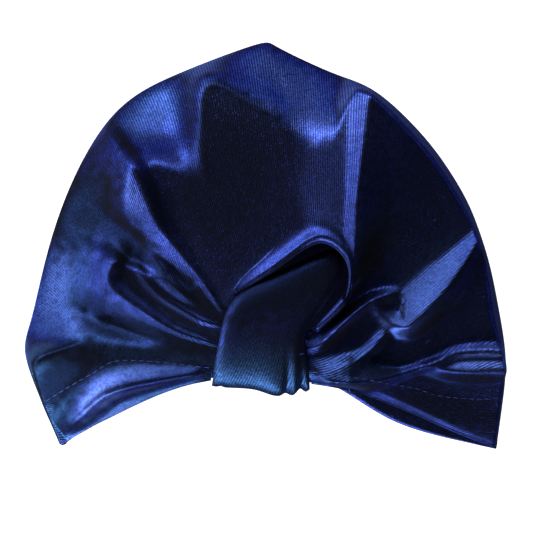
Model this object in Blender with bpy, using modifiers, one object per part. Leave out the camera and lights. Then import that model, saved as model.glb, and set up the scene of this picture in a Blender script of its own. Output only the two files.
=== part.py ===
"""A baby's turban hat in ribbed stretch velvet, lying on its back with the knot up.

The cap is two dome-shaped panels joined round the crown. The front panel is gathered at the
middle of its hem, and a band of the same cloth is wrapped round that gather as the knot.

X runs across the hat, Y from the hem to the crown, and Z up from the surface it lies on.
Lengths in the tables are millimetres, and MM brings them to metres.
"""

import math
from collections import namedtuple

import bmesh
import bpy
import numpy as np

MM = 0.001

# Driving sizes, in millimetres.
CLOTH = 1.5  # one layer of velvet
HEM_CLOTH = 2.5  # where the hem is turned up
HEM_DEPTH = 18.0  # from the hem's edge to its line of stitches
HEM_STEP = 2.0  # over which the hem's second layer ends
BAND_CLOTH = 2.2  # the band is folded double
GAP = 0.5  # between two pieces that touch
RIM_ROUND = 4.5  # how far in from the seam the cloth turns down
RIM_BULGE = 2.5  # how much that turn stands out from the slope
RIM_SHARE = 0.57  # the share of the cloth's thickness that lies downwards at the seam
RIM_EASE = 1.5  # guide lines over which the seam's direction is eased
SLOPE_POWER = 1.6  # 1 slopes evenly to the seam, and more rounds the slope
SLOPE_EASE = 0.2  # guide lines over which the slope's width is eased
BEHIND_POWER = 1.6  # how suddenly the height behind the gather gives way to the shoulder's
LIP_FLANK = 4.5  # how far out the lip's own height reaches
LIP_POWER = 1.4
BACK_RISE = 2.4  # how far the back panel lifts off the surface at the seam
BACK_ROLL = 15.0  # how far in from the seam that lift starts
LIP_ROLL = 2.9  # radius of the rolled lip above the knot
LIP_TUCK = 7.0  # how far the lip's cloth runs back inside
BELLY_PLACE = 0.35  # where across the band it sags most, from 0 at its middle to 1
BELLY_WIDTH = 0.35
BUNDLE_LIFT = 2.0  # how far the bundle's hem is drawn in behind the band
PINCH = 3.5  # how far out from the gather the folds reach their height
FOLD_LEAST = 2.5  # the narrowest half-width of a fold at the gather
FOLD_OPENING = 0.06  # how much that half-width grows with the distance from the gather

# How fine the meshes are.
LINES_PER_ROW = 4
STEPS_OUT = 19
STEPS_ROLL = 5
STEPS_BRIDGE = 5
BAND_STEPS = 40
BAND_RIBS = 11
BACK_LINES = 64
BACK_STEPS = 9
FOLD_STEPS = 41
HEM_STEPS = 25
RIM_STEPS = 240
MERGE = 0.02  # millimetres within which two grids' edges are joined

COLOUR = (0.012, 0.016, 0.105, 1.0)
ROUGHNESS = 0.55
BAND_COLOUR = (0.010, 0.020, 0.090, 1.0)

# The front panel fans out from the gather (gate) to the crown seam (rim), a row for each
# guide line, from the left hem over the crown to the right hem. sag_in and sag_out push the
# line sideways at one and two thirds of its length. The cloth is z_gate high at the gather,
# z_behind close behind it, and z_shoulder from about reach outwards.
FanRow = namedtuple(
    "FanRow", "name gate_x gate_y sag_in sag_out rim_x rim_y z_gate z_behind z_shoulder reach"
)
FAN = [
    FanRow("left hem", -21.5, -53.4, -6.0, -2.2, -84.3, -82.0, 31.5, 32.0, 10, 56),
    FanRow("left stitches", -21.2, -50.5, -4.0, -1.0, -92.2, -67.0, 32.0, 32.5, 15, 54),
    FanRow("left hem fold", -20.4, -46.5, 0, 0, -99.8, -46.0, 32.5, 33.0, 22, 44),
    FanRow("left lower", -19.5, -40.5, 0, 0, -97.6, -31.0, 33.0, 33.5, 24, 34),
    FanRow("left middle", -18.6, -33.5, 0, 0, -91.8, -7.0, 33.5, 34.0, 27, 30),
    FanRow("left upper", -16.6, -26.5, 0, 0, -81.5, 24.0, 33.5, 34.0, 28, 30),
    FanRow("lip left end", -12.9, -20.4, 0, 0, -62.9, 54.8, 34.4, 34.0, 31.5, 30),
    FanRow("lip rise", 1.0, -10.3, 0, 0, -36.0, 71.6, 37.2, 33.5, 32.5, 30),
    FanRow("lip crown", 12.4, -1.6, 0, 0, -5.6, 82.6, 38.2, 33.5, 33, 30),
    FanRow("lip peak", 17.0, 1.6, 0, 0, 4.0, 82.2, 38.6, 33.5, 33, 30),
    FanRow("lip top", 21.6, 3.2, 0, 0, 15.6, 77.2, 39.0, 34.0, 33, 30),
    FanRow("lip turn", 27.4, 1.2, 0, 0, 31.0, 70.6, 39.2, 34.5, 33, 30),
    FanRow("lip shoulder", 32.4, -4.9, 0, 0, 45.5, 64.2, 39.0, 34.5, 32.5, 30),
    FanRow("lip side", 33.6, -13.3, 0, 0, 61.0, 50.6, 38.2, 34, 31, 24),
    FanRow("lip foot", 30.0, -23.6, 0, 0, 73.0, 36.2, 36.2, 33.5, 29, 20),
    FanRow("lip right end", 18.4, -35.2, 0, 0, 82.5, 21.0, 33.0, 33.0, 27, 20),
    FanRow("right upper", 16.8, -38.6, 0, 0, 88.2, 8.0, 32.5, 33.0, 27, 26),
    FanRow("right middle", 16.4, -42.0, 0, 0, 93.2, -8.0, 32.5, 33.0, 26.5, 32),
    FanRow("right lower", 16.4, -46.0, 0, 0, 97.0, -26.5, 32.5, 33.0, 26, 36),
    FanRow("right hem fold", 17.0, -49.6, 0, 0, 99.8, -46.5, 32.5, 33.0, 23, 44),
    FanRow("right stitches", 17.6, -52.4, 1.0, 0, 98.6, -65.0, 32.0, 32.5, 15, 56),
    FanRow("right hem", 18.2, -55.2, 5.4, -5.0, 94.9, -83.6, 31.5, 32.0, 10, 58),
]

# How wide the slope from the shoulder down to the seam is, at places among the guide lines.
SLOPES = [
    (0, 6), (1, 6), (2, 9), (2.6, 24), (3.5, 29), (5.0, 29), (5.5, 18), (5.85, 12), (6.3, 25),
    (6.8, 25), (7.2, 10), (7.6, 19), (7.9, 27), (8.4, 34), (9, 36), (10, 36), (10.8, 28),
    (11.3, 9), (12, 8), (13, 8), (15, 8), (16, 8), (17, 8), (18, 8), (19, 8), (20, 6), (21, 6),
]

LIP_START = 6  # the guide lines that the rolled lip runs between
LIP_END = 15

# The folds: a ridge, or a trough where its height is below 0, along a path of stations. Each
# station gives its plan point, its height, and its half-width on the path's left and right.
FOLDS = {
    "left long": [
        (-17.5, -25.5, 3, 3, 3), (-26, -13, 3.5, 3, 3), (-37, 1, 4.5, 4, 3.5),
        (-44, 12, 5.5, 7, 4), (-50.5, 28, 6, 10, 4), (-58.5, 43, 5, 10, 4), (-66, 53, 2, 8, 4),
    ],
    "left ear": [
        (-18, -31, 2.5, 3, 3), (-27, -27.5, 3.5, 3, 3), (-36, -20, 4, 4.5, 3),
        (-42, -11, 3.5, 6, 3.5), (-47, -2, 1, 5.5, 3.5),
    ],
    "left hook": [
        (-19, -40, 2.5, 3, 3), (-37, -33.6, 3.5, 3, 3), (-48, -27, 4, 3.5, 3.5),
        (-58, -19.5, 5, 6, 3.5), (-63, -12, 5, 8, 3.5), (-61, -2, 1, 6, 3.5),
    ],
    "left trough": [
        (-38, -11, -2, 4, 4), (-50, -4, -2.5, 5, 6), (-64, 4, -3.5, 6.5, 8),
        (-78, 11, -2, 7.5, 9), (-92, 16, -1, 7.5, 9),
    ],
    "left bowl": [
        (-80, -22, -1, 5, 5), (-72, -27, -4, 5, 5), (-62, -31.5, -4, 5, 5), (-50, -36, -2.5, 4, 4),
        (-40, -39, -1, 3, 3),
    ],
    "left cheek": [
        (-21, -43, 0.5, 3, 3), (-40, -41.5, 1.5, 3, 5), (-54, -41, 4, 3, 9),
        (-75, -40, 7, 4, 17), (-99, -40, 8, 4, 19),
    ],
    "left hem ridge": [
        (-21, -49.5, 2, 3, 3), (-34, -52.5, 4, 3, 4), (-48, -55.5, 6, 3, 6),
        (-62, -60, 8, 3.5, 9), (-71, -67, 8, 3.5, 9), (-77.5, -71.5, 5, 3, 6),
        (-82, -75, 0, 3, 5),
    ],
    "crown tongue": [
        (-26, 33, 2.5, 7, 6), (-31, 44, 4, 9, 8), (-34.5, 54, 4, 11, 9), (-31, 75, 4, 12, 9),
    ],
    "right long": [
        (34, -10, 2, 3, 4), (35.7, 0, 2.5, 3, 4), (36.7, 20, 3, 3, 5), (39.2, 39, 4.4, 5, 6),
        (41.6, 60, 6, 6.5, 6.5), (43.4, 68, 4, 7, 6.5),
    ],
    "right long foot": [
        (31, 0, 2, 11, 7), (34, 10, 4.5, 15, 8), (35.5, 20, 5.5, 17, 10),
        (37.5, 39, 5.5, 16, 11), (40, 58, 4, 14, 11), (42, 68, 2, 13, 11),
    ],
    "right arm": [
        (16, -41, 2.5, 3, 3), (22.5, -39, 3.5, 3, 3), (30.5, -31.6, 4.5, 3, 3),
        (36.7, -26, 4.5, 3, 4), (42.8, -22, 4, 3, 4), (50, -20, 2.5, 3, 3), (56, -19, 0, 3, 3),
    ],
    "right band": [
        (44, -25, 1, 3, 3), (50, -31, 3, 4, 3), (56, -33, 6, 8, 4), (62, -28.5, 8, 9, 5),
        (71.5, -18.5, 8.5, 9, 5.5), (82, -7, 8, 7, 6), (88, 5, 6, 4, 6), (92, 12, 1, 3, 5),
    ],
    "right cheek": [
        (20, -54.5, 5, 7, 3), (33, -54.8, 8, 8, 3), (45.7, -53.7, 6, 4, 3),
        (54, -51.7, 3.5, 3, 3), (71.5, -45.5, 3, 3, 3), (99, -43, 4, 3, 3),
    ],
    "right lens": [
        (64, -49.5, 1.5, 3, 3), (73, -52, 4.5, 5, 3.5), (82, -53.5, 7, 6, 3.5),
        (99, -53.5, 8, 7, 3.5),
    ],
}

# The band round the gather, as stations of a closed path across the bundle: over the top
# from the hem to the lip, through the slit, back underneath and round the hem's edge. Each
# row gives the band's left and right edges there. dome is how far its middle stands out,
# and belly how much further it sags towards its right side.
BandRow = namedtuple("BandRow", "name lx ly lz rx ry rz dome belly")
BAND = [
    BandRow("hem edge", -21.4, -56.4, 30.6, 17.8, -58.0, 30.6, 0.6, 2.6),
    BandRow("hem shoulder", -21.0, -54.6, 34.0, 17.8, -56.4, 34.0, 1.0, 1.6),
    BandRow("face low", -20.0, -47.5, 36.0, 17.0, -49.5, 35.8, 2.0, 0.5),
    BandRow("face middle", -18.0, -37.0, 37.4, 15.8, -40.0, 36.8, 2.4, 0.0),
    BandRow("face high", -15.4, -27.0, 37.8, 18.8, -30.0, 35.0, 2.4, 0.0),
    BandRow("under lip", -10.5, -20.0, 36.4, 29.4, -14.0, 32.6, 2.0, 0.0),
    BandRow("slit", -6.0, -17.5, 31.6, 29.4, -3.4, 31.6, 2.0, 0.0),
    BandRow("slit back", -8.0, -20.0, 26.6, 22.0, -7.0, 26.0, 1.5, 0.0),
    BandRow("inside high", -13.0, -27.0, 26.2, 15.5, -20.0, 26.0, 0.6, 0.0),
    BandRow("inside middle", -16.0, -37.0, 25.6, 14.5, -34.0, 25.6, 0.6, 0.0),
    BandRow("inside low", -18.8, -47.0, 25.2, 14.8, -47.0, 25.2, 0.6, 0.0),
    BandRow("hem inside", -20.4, -54.8, 26.0, 16.8, -56.2, 26.0, 0.6, 1.0),
]

# The back panel's hem, from the left corner to the right one.
BACK_HEM = [
    (-84.3, -82.0),
    (-62.0, -66.0),
    (-38.0, -54.5),
    (0.0, -50.0),
    (30.0, -58.8),
    (52.0, -71.3),
    (76.0, -79.6),
    (94.9, -83.6),
]


def natural_spline(knots, rows, at):
    """Values of a natural cubic spline through the rows at the knots."""
    knots = np.asarray(knots, float)
    rows = np.asarray(rows, float)
    at = np.asarray(at, float)
    count = len(knots)
    gaps = np.diff(knots)
    system = np.eye(count)
    known = np.zeros(rows.shape)
    for i in range(1, count - 1):
        system[i, i - 1] = gaps[i - 1]
        system[i, i] = 2 * (gaps[i - 1] + gaps[i])
        system[i, i + 1] = gaps[i]
        rise = (rows[i + 1] - rows[i]) / gaps[i] - (rows[i] - rows[i - 1]) / gaps[i - 1]
        known[i] = 6 * rise
    bend = np.linalg.solve(system, known)
    i = np.clip(np.searchsorted(knots, at, side="right") - 1, 0, count - 2)
    h = gaps[i][:, None]
    before = (at - knots[i])[:, None]
    after = h - before
    return (
        bend[i] * after**3 / (6 * h)
        + bend[i + 1] * before**3 / (6 * h)
        + (rows[i] / h - bend[i] * h / 6) * after
        + (rows[i + 1] / h - bend[i + 1] * h / 6) * before
    )


def loop_spline(rows, count):
    """Points of a smooth closed curve through the rows, count of them."""
    rows = np.asarray(rows, float)
    size = len(rows)
    around = np.vstack([rows, rows, rows, rows[:1]])
    knots = np.arange(len(around)) / size
    return natural_spline(knots, around, 1 + np.arange(count) / count)


def smooth(t):
    t = np.clip(t, 0, 1)
    return t * t * (3 - 2 * t)


def distance_to_line(points, line):
    """How far points are from a polyline: distance, side (1 left, -1 right) and place along it."""
    best = np.full(len(points), np.inf)
    side = np.zeros(len(points))
    place = np.zeros(len(points))
    for i in range(len(line) - 1):
        start = line[i]
        along = line[i + 1] - start
        t = np.clip((points - start) @ along / (along @ along), 0, 1)
        away = points - start - t[:, None] * along
        far = np.linalg.norm(away, axis=1)
        nearer = far < best
        best[nearer] = far[nearer]
        turn = (along[0] * away[:, 1] - along[1] * away[:, 0]) / np.linalg.norm(along)
        side[nearer] = turn[nearer] / np.maximum(far[nearer], MERGE)
        place[nearer] = (i + t[nearer]) / (len(line) - 1)
    return best, side, place


def fold_heights(points, narrowest):
    """How much the folds raise or lower each point of the plan."""
    raised = np.zeros(len(points))
    for stations in FOLDS.values():
        x, y, heights, lefts, rights = np.array(stations, float).T
        knots = np.linspace(0, 1, len(stations))
        path = natural_spline(knots, np.stack([x, y], axis=1), np.linspace(0, 1, FOLD_STEPS))
        far, side, place = distance_to_line(points, path)
        left = np.interp(place, knots, lefts)
        right = np.interp(place, knots, rights)
        width = (left + right + (left - right) * side) / 2
        u = far / np.maximum(width, narrowest)
        raised += np.interp(place, knots, heights) * np.exp(-u * u)
    return raised


def fan_plan(rows_at, out):
    """Plan points of the fan: a line of points for each place among the guide rows."""
    rows = np.array([row[1:7] for row in FAN], float)
    gate_x, gate_y, sag_in, sag_out, rim_x, rim_y = natural_spline(
        np.arange(len(FAN)), rows, rows_at
    ).T
    gate = np.stack([gate_x, gate_y], axis=1)
    rim = np.stack([rim_x, rim_y], axis=1)
    along = rim - gate
    across = np.stack([-along[:, 1], along[:, 0]], axis=1)
    across /= np.linalg.norm(across, axis=1)[:, None]
    first = gate + along / 3 + across * sag_in[:, None]
    second = gate + along * 2 / 3 + across * sag_out[:, None]
    t = np.asarray(out)[None, :, None]
    return (
        (1 - t) ** 3 * gate[:, None]
        + 3 * t * (1 - t) ** 2 * first[:, None]
        + 3 * t**2 * (1 - t) * second[:, None]
        + t**3 * rim[:, None]
    )


def rim_line():
    rows = np.array([(row.rim_x, row.rim_y) for row in FAN], float)
    return natural_spline(np.arange(len(FAN)), rows, np.linspace(0, len(FAN) - 1, RIM_STEPS))


def cloth_thickness(plan, hem):
    """The cloth is double in the turned-up hem, and single elsewhere."""
    far = distance_to_line(plan, hem)[0]
    return CLOTH + (HEM_CLOTH - CLOTH) * (1 - smooth((far - HEM_DEPTH) / HEM_STEP))


def front_hem():
    """The front panel's hem in plan, from the left corner through the knot to the right one."""
    out = np.linspace(0, 1, HEM_STEPS)
    left = fan_plan(np.array([0.0]), out)[0, ::-1]
    right = fan_plan(np.array([len(FAN) - 1.0]), out)[0]
    return np.vstack([left, right])


def back_hem():
    knots = np.linspace(0, 1, len(BACK_HEM))
    return natural_spline(knots, BACK_HEM, np.linspace(0, 1, BACK_LINES + 1))


def distance_from_rim(rows_at, plan):
    """How far each point is inside the seam, measured along its own line of the fan."""
    rim = np.array([(row.rim_x, row.rim_y) for row in FAN], float)
    knots = np.arange(len(FAN))
    before = natural_spline(knots, rim, np.clip(rows_at - RIM_EASE, 0, len(FAN) - 1))
    after = natural_spline(knots, rim, np.clip(rows_at + RIM_EASE, 0, len(FAN) - 1))
    seam = after - before
    seam /= np.linalg.norm(seam, axis=1)[:, None]
    line = plan[:, -1] - plan[:, -2]
    line /= np.linalg.norm(line, axis=1)[:, None]
    square = np.abs(line[:, 0] * seam[:, 1] - line[:, 1] * seam[:, 0])
    return np.linalg.norm(plan - plan[:, -1:], axis=2) * square[:, None]


def slope_widths(rows_at):
    places, widths = np.array(SLOPES, float).T
    near = [np.interp(rows_at + shift, places, widths) for shift in (-SLOPE_EASE, 0, SLOPE_EASE)]
    return np.mean(near, axis=0)


def front_heights(rows_at, plan):
    """Height of the front panel's outer face over the plan points."""
    columns = np.array([row[7:] for row in FAN], float)
    gate, behind, shoulder, reach = natural_spline(np.arange(len(FAN)), columns, rows_at).T[..., None]
    flat = plan.reshape(-1, 2)
    shape = plan.shape[:2]
    from_rim = distance_from_rim(rows_at, plan)
    from_gate = np.linalg.norm(plan - plan[:, :1], axis=2)
    rim = BACK_RISE + cloth_thickness(flat, back_hem()) + GAP
    rim += RIM_SHARE * cloth_thickness(flat, front_hem())
    rim = rim.reshape(shape)
    puffed = shoulder + (behind - shoulder) * np.exp(-((from_gate / reach) ** BEHIND_POWER))
    puffed += (gate - behind) * np.exp(-((from_gate / LIP_FLANK) ** LIP_POWER))
    narrowest = FOLD_LEAST + FOLD_OPENING * from_gate
    folds = fold_heights(flat, narrowest.ravel()).reshape(shape) * smooth(from_gate / PINCH)
    falls = 1 - (1 - np.clip(from_rim / slope_widths(rows_at)[:, None], 0, 1)) ** SLOPE_POWER
    turned = np.sqrt(1 - (1 - np.clip(from_rim / RIM_ROUND, 0, 1)) ** 2)
    return rim + (puffed + folds - rim) * falls + RIM_BULGE * turned * (1 - falls)


def lip_rolls(rows_at, plan, heights):
    """The lip's rolled cloth: points from its free edge round to the gate, a row per line."""
    share = (rows_at - LIP_START) / (LIP_END - LIP_START)
    size = np.sqrt(np.clip(np.sin(np.pi * np.clip(share, 0, 1)), 0, 1))
    outward = plan[:, 1] - plan[:, 0]
    outward /= np.linalg.norm(outward, axis=1)[:, None]
    points = []
    for step in range(STEPS_ROLL):
        turned = math.pi * (1 - step / STEPS_ROLL)
        back = LIP_ROLL * size * math.sin(turned)
        down = LIP_ROLL * size * (1 - math.cos(turned))
        flat = plan[:, 0] - outward * back[:, None]
        points.append(np.column_stack([flat, heights[:, 0] - down]))
    tucked = points[0].copy()
    tucked[:, :2] += outward * (LIP_TUCK * size)[:, None]
    tucked[:, 2] -= size
    return np.stack([tucked] + points, axis=1)


def grid_object(name, grids, upward):
    """An object with a quad between each four neighbours in the grids of points."""
    mesh = bmesh.new()
    for rows in grids:
        made = [[mesh.verts.new(point * MM) for point in row] for row in rows]
        for i in range(len(made) - 1):
            for j in range(len(made[i]) - 1):
                corners = (made[i][j], made[i][j + 1], made[i + 1][j + 1], made[i + 1][j])
                mesh.faces.new(corners)
    bmesh.ops.remove_doubles(mesh, verts=mesh.verts, dist=MERGE * MM)
    bmesh.ops.recalc_face_normals(mesh, faces=mesh.faces)
    facing_up = sum(face.normal.z * face.calc_area() for face in mesh.faces) > 0
    if facing_up != upward:
        bmesh.ops.reverse_faces(mesh, faces=mesh.faces)
    data = bpy.data.meshes.new(name)
    mesh.to_mesh(data)
    mesh.free()
    return bpy.data.objects.new(name, data)


def thicken(obj, thickness):
    """Gives the open surface its cloth, inwards from the face that it has."""
    group = obj.vertex_groups.new(name="cloth")
    most = float(np.max(thickness))
    for index, share in enumerate(thickness / most):
        group.add([index], float(share), "REPLACE")
    solidify = obj.modifiers.new("Cloth", "SOLIDIFY")
    solidify.thickness = most * MM
    solidify.offset = -1
    solidify.vertex_group = group.name
    solidify.use_even_offset = False


def plan_of(obj):
    return np.array([vertex.co[:2] for vertex in obj.data.vertices]) / MM


def front_panel():
    rows_at = np.linspace(0, len(FAN) - 1, (len(FAN) - 1) * LINES_PER_ROW + 1)
    out = np.linspace(0, 1, STEPS_OUT + 1)
    plan = fan_plan(rows_at, out)
    heights = front_heights(rows_at, plan)
    fan = np.dstack([plan, heights[..., None]])
    first = LIP_START * LINES_PER_ROW
    last = LIP_END * LINES_PER_ROW
    lines = slice(first, last + 1)
    rolls = lip_rolls(rows_at[lines], plan[lines], heights[lines])
    lip = np.concatenate([rolls, fan[lines, :1]], axis=1)
    t = np.linspace(0, 1, STEPS_BRIDGE + 1)[None, :, None]
    left = fan[:first + 1, 0][:, None]
    right = fan[last:, 0][::-1][:, None]
    bridge = left * (1 - t) + right * t
    from_hem = np.linspace(0, 1, first + 1)[:, None]
    bridge[..., 1] += BUNDLE_LIFT * np.sin(math.pi * t[..., 0]) * (1 - from_hem) ** 2
    obj = grid_object("front_panel", [fan, lip, bridge], upward=True)
    thicken(obj, cloth_thickness(plan_of(obj), front_hem()))
    return obj


def back_panel():
    """The back of the cap: flat where it lies, lifted a little all round at the seam."""
    rim = rim_line()
    hem = back_hem()
    along = np.concatenate([[0], np.cumsum(np.linalg.norm(np.diff(rim, axis=0), axis=1))])
    wanted = np.linspace(0, along[-1], BACK_LINES + 1)
    seam = np.stack([np.interp(wanted, along, rim[:, k]) for k in (0, 1)], axis=1)
    t = np.linspace(0, 1, BACK_STEPS + 1)[None, :, None]
    plan = hem[:, None] * (1 - t) + seam[:, None] * t
    from_rim = distance_to_line(plan.reshape(-1, 2), rim)[0].reshape(plan.shape[:2])
    lift = BACK_RISE * (1 - smooth(from_rim / BACK_ROLL))
    obj = grid_object("back_panel", [np.dstack([plan, lift[..., None]])], upward=False)
    thicken(obj, cloth_thickness(plan_of(obj), hem))
    return obj


def knot_band():
    """The band: a closed loop of cloth whose outer face is swept round the bundle."""
    path = loop_spline([row[1:] for row in BAND], BAND_STEPS)
    left = path[:, 0:3]
    right = path[:, 3:6]
    centre = (left + right) / 2
    ahead = np.roll(centre, -1, axis=0) - np.roll(centre, 1, axis=0)
    outward = np.cross(right - left, ahead)
    outward /= np.linalg.norm(outward, axis=1)[:, None]
    across = np.linspace(-1, 1, BAND_RIBS)[None, :, None]
    dome = path[:, 6, None, None]
    belly = path[:, 7, None, None]
    stands = dome * (1 - across**2) + belly * np.exp(-(((across - BELLY_PLACE) / BELLY_WIDTH) ** 2))
    flat = (left[:, None] * (1 - across) + right[:, None] * (1 + across)) / 2
    grid = flat + stands * outward[:, None]
    grid = np.concatenate([grid, grid[:1]], axis=0)
    obj = grid_object("knot_band", [grid], upward=True)
    thicken(obj, np.full(len(obj.data.vertices), BAND_CLOTH))
    return obj


def velvet(name, colour):
    material = bpy.data.materials.new(name)
    material.use_nodes = True
    shader = material.node_tree.nodes["Principled BSDF"]
    shader.inputs["Base Color"].default_value = colour
    shader.inputs["Roughness"].default_value = ROUGHNESS
    shader.inputs["Metallic"].default_value = 0.0
    return material


def main():
    for obj in list(bpy.data.objects):
        bpy.data.objects.remove(obj, do_unlink=True)
    hat = bpy.data.collections.new("baby_turban_hat")
    bpy.context.scene.collection.children.link(hat)
    for make, colour in ((front_panel, COLOUR), (back_panel, COLOUR), (knot_band, BAND_COLOUR)):
        obj = make()
        obj.data.materials.append(velvet(obj.name + "_velvet", colour))
        obj.data.shade_smooth()
        hat.objects.link(obj)


main()
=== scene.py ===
import math

import bmesh
import bpy
import numpy as np
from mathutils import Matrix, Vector
from mathutils.bvhtree import BVHTree


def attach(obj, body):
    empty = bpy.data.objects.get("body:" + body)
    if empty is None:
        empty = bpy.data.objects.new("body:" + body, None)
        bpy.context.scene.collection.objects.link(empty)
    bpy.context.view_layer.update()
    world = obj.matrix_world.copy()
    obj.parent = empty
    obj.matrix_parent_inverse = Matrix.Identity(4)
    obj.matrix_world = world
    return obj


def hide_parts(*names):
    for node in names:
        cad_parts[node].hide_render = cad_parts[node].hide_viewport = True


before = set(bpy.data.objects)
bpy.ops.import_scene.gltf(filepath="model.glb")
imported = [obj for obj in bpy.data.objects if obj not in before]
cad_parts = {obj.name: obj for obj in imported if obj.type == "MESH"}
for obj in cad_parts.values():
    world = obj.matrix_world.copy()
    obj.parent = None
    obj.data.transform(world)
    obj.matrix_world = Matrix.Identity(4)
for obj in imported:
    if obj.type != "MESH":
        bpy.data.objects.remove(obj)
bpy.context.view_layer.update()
print("frame loaded")

mm = 0.001


# A smooth curve through rows of values, one row at each knot, read at the places given
def naturalSpline(knots, rows, at):
    knots = np.asarray(knots, float)
    rows = np.asarray(rows, float)
    at = np.asarray(at, float)
    count = len(knots)
    gaps = np.diff(knots)
    system = np.eye(count)
    known = np.zeros(rows.shape)
    for i in range(1, count - 1):
        system[i, i - 1] = gaps[i - 1]
        system[i, i] = 2 * (gaps[i - 1] + gaps[i])
        system[i, i + 1] = gaps[i]
        known[i] = 6 * ((rows[i + 1] - rows[i]) / gaps[i] - (rows[i] - rows[i - 1]) / gaps[i - 1])
    bend = np.linalg.solve(system, known)
    i = np.clip(np.searchsorted(knots, at, side="right") - 1, 0, count - 2)
    gap = gaps[i][:, None]
    before = (at - knots[i])[:, None]
    after = gap - before
    return (
        bend[i] * after**3 / (6 * gap)
        + bend[i + 1] * before**3 / (6 * gap)
        + (rows[i] / gap - bend[i] * gap / 6) * after
        + (rows[i + 1] / gap - bend[i + 1] * gap / 6) * before
    )


# An easy step from 0 to 1
def smooth(share):
    share = np.clip(share, 0, 1)
    return share * share * (3 - 2 * share)


def unit(vectors):
    return vectors / np.maximum(np.linalg.norm(vectors, axis=-1, keepdims=True), 1e-9)


def lengthAlong(points):
    return np.concatenate([[0], np.cumsum(np.linalg.norm(np.diff(points, axis=0), axis=1))])


# The distance of each point from a line, its side (1 on the left) and its place from 0 to 1
def alongPath(points, line):
    best = np.full(len(points), np.inf)
    side = np.zeros(len(points))
    place = np.zeros(len(points))
    for i in range(len(line) - 1):
        start = line[i]
        along = line[i + 1] - start
        share = np.clip((points - start) @ along / (along @ along), 0, 1)
        away = points - start - share[:, None] * along
        far = np.linalg.norm(away, axis=1)
        nearer = far < best
        best[nearer] = far[nearer]
        turn = (along[0] * away[:, 1] - along[1] * away[:, 0]) / np.linalg.norm(along)
        side[nearer] = turn[nearer] / np.maximum(far[nearer], 0.001)
        place[nearer] = (i + share[nearer]) / (len(line) - 1)
    return best, side, place


# An object from grids of points in millimetres, each with the cloth's own map
def meshFrom(name, parts, upward):
    mesh = bmesh.new()
    layer = mesh.loops.layers.uv.new("cloth")
    for rows, places in parts:
        made = [[mesh.verts.new(point * mm) for point in row] for row in rows]
        for i in range(len(made) - 1):
            for j in range(len(made[i]) - 1):
                at = ((i, j), (i, j + 1), (i + 1, j + 1), (i + 1, j))
                face = mesh.faces.new([made[a][b] for a, b in at])
                for loop, (a, b) in zip(face.loops, at):
                    loop[layer].uv = places[a][b] * mm
    bmesh.ops.remove_doubles(mesh, verts=mesh.verts, dist=0.004 * mm)
    bmesh.ops.recalc_face_normals(mesh, faces=mesh.faces)
    if (sum(face.normal.z * face.calc_area() for face in mesh.faces) > 0) != upward:
        bmesh.ops.reverse_faces(mesh, faces=mesh.faces)
    data = bpy.data.meshes.new(name)
    mesh.to_mesh(data)
    mesh.free()
    obj = bpy.data.objects.new(name, data)
    bpy.context.scene.collection.objects.link(obj)
    data.shade_smooth()
    return obj


# Gives the cloth its thickness: its inner side takes the backing, and its edge too where edge is 1
def thicken(obj, thickness, edge=0):
    solidify = obj.modifiers.new("Cloth", "SOLIDIFY")
    solidify.thickness = thickness * mm
    solidify.offset = -1
    solidify.use_even_offset = False
    solidify.material_offset = 1
    solidify.material_offset_rim = edge
    bpy.context.view_layer.objects.active = obj
    with bpy.context.temp_override(object=obj, active_object=obj, selected_objects=[obj]):
        bpy.ops.object.modifier_apply(modifier="Cloth")


# The front cloth, in millimetres
frontCloth = {
    "thickness": 1.3,
    "linesPerRow": 16,
    "stepsOut": 110,
    "stepsRoll": 14,
    "stepsBridge": 14,
    "crowdEnds": 0.45,  # how much closer the steps lie at both ends of a line
    "hemRadius": 1.45,
    "hemInset": 0.08,  # in rows
    "stepsHem": 8,
    "seamTop": 3.0,  # height of the crown seam
    "rimBulge": 1.2,
    "rimRound": 4.5,
    "rimEase": 1.5,  # in rows
    "rimStep": 0.07,  # in rows, between the five samples that ease rimSlopes
    "slopeEven": 0.5,  # share of the slope above the seam that is straight
    "lipStart": 6,  # the rows between which the gate's edge rolls into the lip
    "lipEnd": 15,
    "lipRoll": 2.9,
    "lipTuck": 9.0,
    "tuckShares": (1.0, 0.66, 0.33),
    "lipFlank": 3.5,
    "lipFall": 1.4,  # power with which the rise at the lip falls away
    "domeFall": 1.6,
    "hemDrop": 1.9,
    "hemRoll": 3.4,
    "hemFall": 1.5,
    "hemPoints": 40,
    "foldPoints": 61,
    "foldAtGate": 0.45,  # share of a fold's height that it has at the gate
    "foldGrows": 8.0,  # how far out it has its full height
    "crestRound": 0.45,
    "crestReach": 1.1,
    "crestSoft": 0.04,
    "swellFall": 1.4,
    "cornerRows": 4,  # rows each way over which the corner at the peak eases
    "cornerSpread": 4.5,
    "cornerReach": 26.0,
    "gateStretch": 1.6,  # cloth across the gate to each millimetre of its edge
    "bridgeBow": 2.0,
    "hemMapLine": 60,  # the step whose path round the hem sets the map there
}

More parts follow.
